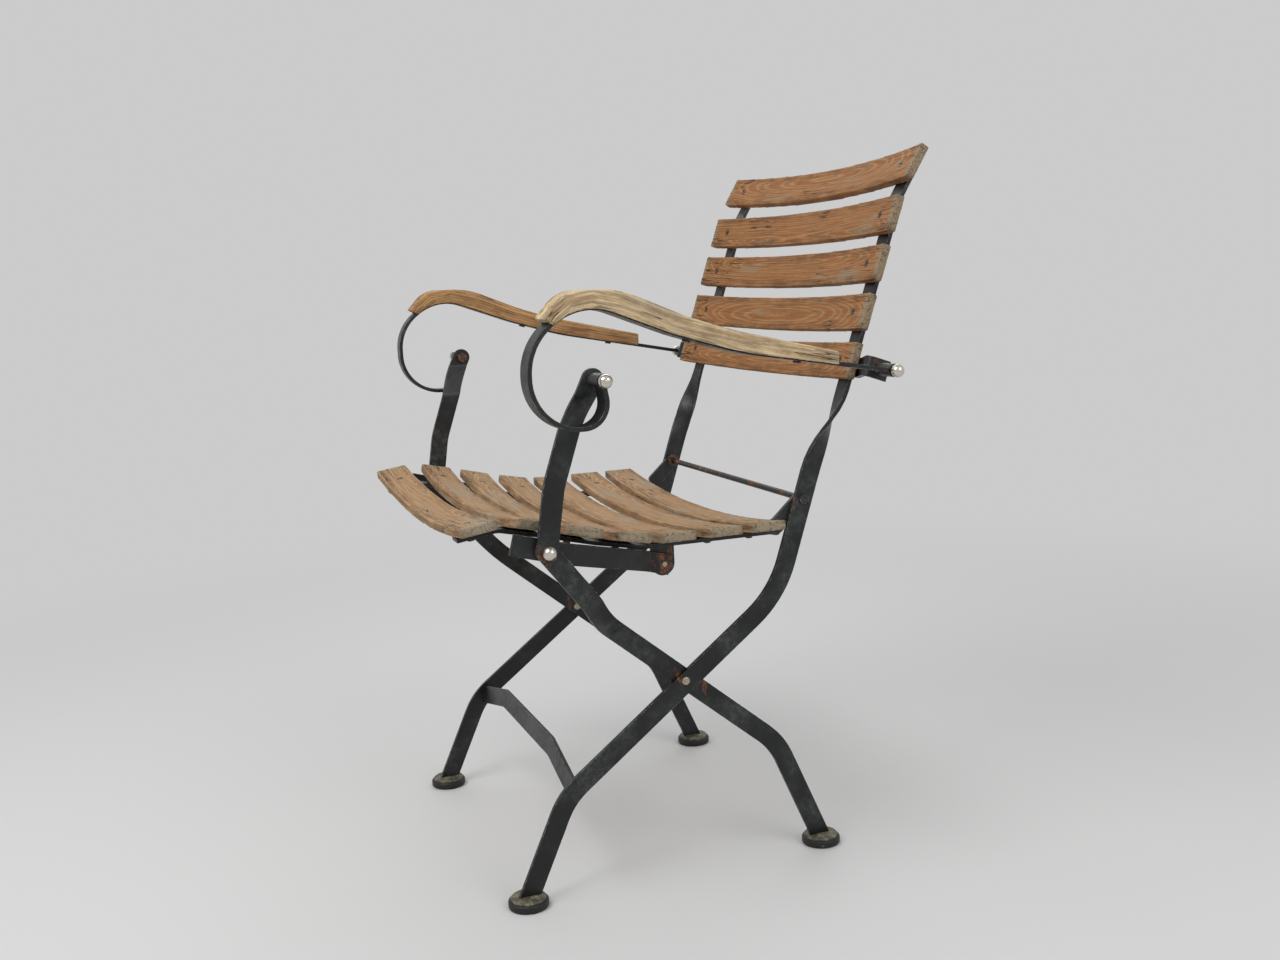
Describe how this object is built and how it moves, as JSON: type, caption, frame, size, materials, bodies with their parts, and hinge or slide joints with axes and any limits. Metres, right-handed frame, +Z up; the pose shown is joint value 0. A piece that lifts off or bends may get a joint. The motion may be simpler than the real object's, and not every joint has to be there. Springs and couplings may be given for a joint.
{
  "type": "folding garden armchair",
  "caption": "Folding garden armchair with a flat steel bar frame, dished wooden slats and wooden arm strips on scrolled bands.",
  "frame": {"origin": "centre of the outline on the ground, under the feet", "axes": "+X to the sitter's left, -Y to the front, +Z up"},
  "size_m": [0.7383, 0.6346, 0.8991],
  "materials": {
    "black_paint": "worn satin",
    "worn_steel": "rusty and dull",
    "screw_steel": "dull",
    "ball_nickel": "polished",
    "foot_disc_steel": "dusty",
    "foot_rubber": "matte",
    "back_slat_wood": "weathered oil",
    "seat_slat_wood": "weathered",
    "arm_wood_grey": "driftwood",
    "arm_wood_brown": "weathered"
  },
  "bodies": {
    "frame": {"back_bar_left": "black_paint", "back_bar_right": "black_paint", "front_stretcher": "black_paint", "seat_pivot_rod": "black_paint", "seat_pivot_washers": "worn_steel", "leg_pivot_rivets": "worn_steel", "front_foot_disc_left": "foot_disc_steel", "front_foot_disc_right": "foot_disc_steel", "front_foot_cap_left": "foot_rubber", "front_foot_cap_right": "foot_rubber", "back_slat_1": "back_slat_wood", "back_slat_2": "back_slat_wood", "back_slat_3": "back_slat_wood", "back_slat_4": "back_slat_wood", "back_slat_5": "back_slat_wood", "back_slat_screws": "screw_steel", "back_slat_nuts": "worn_steel", "arm_bracket_left": "black_paint", "arm_bracket_right": "black_paint", "arm_pivot_bolt_left": "ball_nickel", "arm_pivot_bolt_right": "ball_nickel", "arm_pivot_spacers": "worn_steel", "arm_pivot_nuts": "worn_steel"},
    "seat": {"seat_rail_left": "black_paint", "seat_rail_right": "black_paint", "seat_slat_1": "seat_slat_wood", "seat_slat_2": "seat_slat_wood", "seat_slat_3": "seat_slat_wood", "seat_slat_4": "seat_slat_wood", "seat_slat_5": "seat_slat_wood", "seat_slat_6": "seat_slat_wood", "seat_slat_7": "seat_slat_wood", "seat_slat_screws": "screw_steel", "seat_slat_nuts": "worn_steel", "seat_link_rivets": "worn_steel"},
    "rear_leg_left": {"rear_leg_left": "black_paint", "rear_foot_disc_left": "foot_disc_steel", "rear_foot_cap_left": "foot_rubber", "lower_ball_bolt_left": "ball_nickel"},
    "link_left": {"seat_link_left": "black_paint", "seat_link_nut_left": "worn_steel"},
    "post_left": {"arm_post_left": "black_paint", "arm_post_nut_left": "worn_steel"},
    "arm_left": {"arm_band_left": "black_paint", "arm_wood_left": "arm_wood_grey", "arm_wood_screws_left": "screw_steel", "upper_ball_bolt_left": "ball_nickel"},
    "rear_leg_right": {"rear_leg_right": "black_paint", "rear_foot_disc_right": "foot_disc_steel", "rear_foot_cap_right": "foot_rubber", "lower_ball_bolt_right": "ball_nickel"},
    "link_right": {"seat_link_right": "black_paint", "seat_link_nut_right": "worn_steel"},
    "post_right": {"arm_post_right": "black_paint", "arm_post_nut_right": "worn_steel"},
    "arm_right": {"arm_band_right": "black_paint", "arm_wood_right": "arm_wood_brown", "arm_wood_screws_right": "screw_steel", "upper_ball_bolt_right": "ball_nickel"}
  },
  "joints": [
    {"name": "leg_fold", "type": "hinge", "parent": "frame", "child": "rear_leg_left", "pos_m": [0, -0.034, 0.252], "axis": [-1, 0, 0], "range_deg": [0, 71]},
    {"name": "leg_fold_right", "type": "hinge", "parent": "frame", "child": "rear_leg_right", "pos_m": [0, -0.034, 0.252], "axis": [-1, 0, 0], "range_deg": [0, 71]},
    {"name": "seat_fold", "type": "hinge", "parent": "frame", "child": "seat", "pos_m": [0, 0.1375, 0.4647], "axis": [-1, 0, 0], "range_deg": [0, 103]},
    {"name": "link_fold_left", "type": "hinge", "parent": "seat", "child": "link_left", "pos_m": [0, -0.0568, 0.4045], "axis": [1, 0, 0], "range_deg": [0, 198.7]},
    {"name": "post_fold_left", "type": "hinge", "parent": "rear_leg_left", "child": "post_left", "pos_m": [0, -0.224, 0.4513], "axis": [1, 0, 0], "range_deg": [0, 216.5]},
    {"name": "arm_fold_left", "type": "hinge", "parent": "frame", "child": "arm_left", "pos_m": [0, 0.2047, 0.6281], "axis": [1, 0, 0], "range_deg": [0, 46.1]},
    {"name": "link_fold_right", "type": "hinge", "parent": "seat", "child": "link_right", "pos_m": [0, -0.0568, 0.4045], "axis": [1, 0, 0], "range_deg": [0, 198.7]},
    {"name": "post_fold_right", "type": "hinge", "parent": "rear_leg_right", "child": "post_right", "pos_m": [0, -0.224, 0.4513], "axis": [1, 0, 0], "range_deg": [0, 216.5]},
    {"name": "arm_fold_right", "type": "hinge", "parent": "frame", "child": "arm_right", "pos_m": [0, 0.2047, 0.6281], "axis": [1, 0, 0], "range_deg": [0, 46.1]}
  ],
  "couplings": [
    {"joint": "leg_fold_right", "follows": "leg_fold", "ratio": 1},
    {"joint": "seat_fold", "follows": "leg_fold", "ratio": 1.4507},
    {"joint": "link_fold_left", "follows": "leg_fold", "ratio": 2.7986},
    {"joint": "post_fold_left", "follows": "leg_fold", "ratio": 3.0493},
    {"joint": "arm_fold_left", "follows": "leg_fold", "ratio": 0.64929},
    {"joint": "link_fold_right", "follows": "leg_fold", "ratio": 2.7986},
    {"joint": "post_fold_right", "follows": "leg_fold", "ratio": 3.0493},
    {"joint": "arm_fold_right", "follows": "leg_fold", "ratio": 0.64929}
  ]
}
